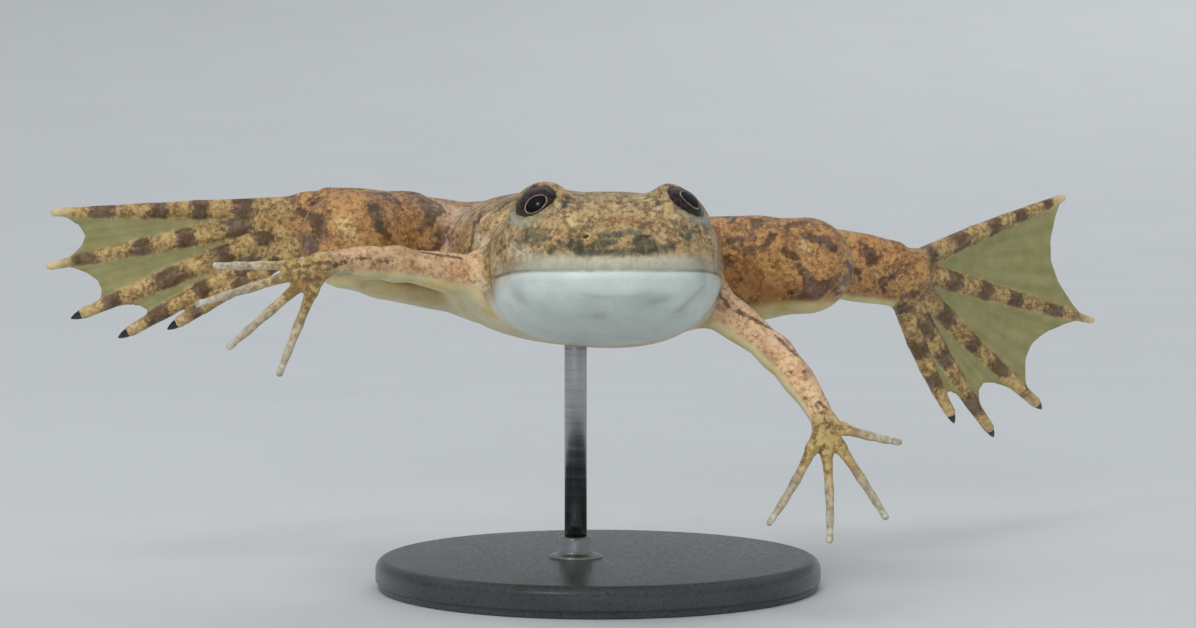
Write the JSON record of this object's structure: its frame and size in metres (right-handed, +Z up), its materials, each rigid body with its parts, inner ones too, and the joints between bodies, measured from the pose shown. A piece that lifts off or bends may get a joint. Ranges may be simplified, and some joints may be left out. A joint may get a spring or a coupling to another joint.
{
  "type": "african clawed frog",
  "caption": "Young African clawed frog afloat with its limbs spread wide, webbed hind feet with black claws and slim bare fingers, held by a plain round display stand.",
  "frame": {"origin": "centre of the underside of the stand's base", "axes": "+Z up; -Y the way the head faces; +X the frog's left"},
  "size_m": [0.1149, 0.0796, 0.0399],
  "materials": {
    "skin": "smooth and wet",
    "eye": "polished",
    "claw": "satin",
    "stand_base": "satin",
    "stand_steel": "satin"
  },
  "bodies": {
    "root": {"ankle_left": "skin", "ankle_right": "skin", "claw_left_1": "claw", "claw_left_2": "claw", "claw_left_3": "claw", "claw_right_1": "claw", "claw_right_2": "claw", "claw_right_3": "claw", "eye_left": "eye", "eye_right": "eye", "finger_left_1": "skin", "finger_left_2": "skin", "finger_left_3": "skin", "finger_left_4": "skin", "finger_right_1": "skin", "finger_right_2": "skin", "finger_right_3": "skin", "finger_right_4": "skin", "foot_left": "skin", "foot_right": "skin", "forearm_left": "skin", "forearm_right": "skin", "hand_left": "skin", "hand_right": "skin", "head": "skin", "lower_jaw": "skin", "shank_left": "skin", "shank_right": "skin", "stand_base": "stand_base", "stand_collar": "stand_steel", "stand_rod": "stand_steel", "thigh_left": "skin", "thigh_right": "skin", "trunk": "skin", "upper_arm_left": "skin", "upper_arm_right": "skin"}
  },
  "joints": []
}
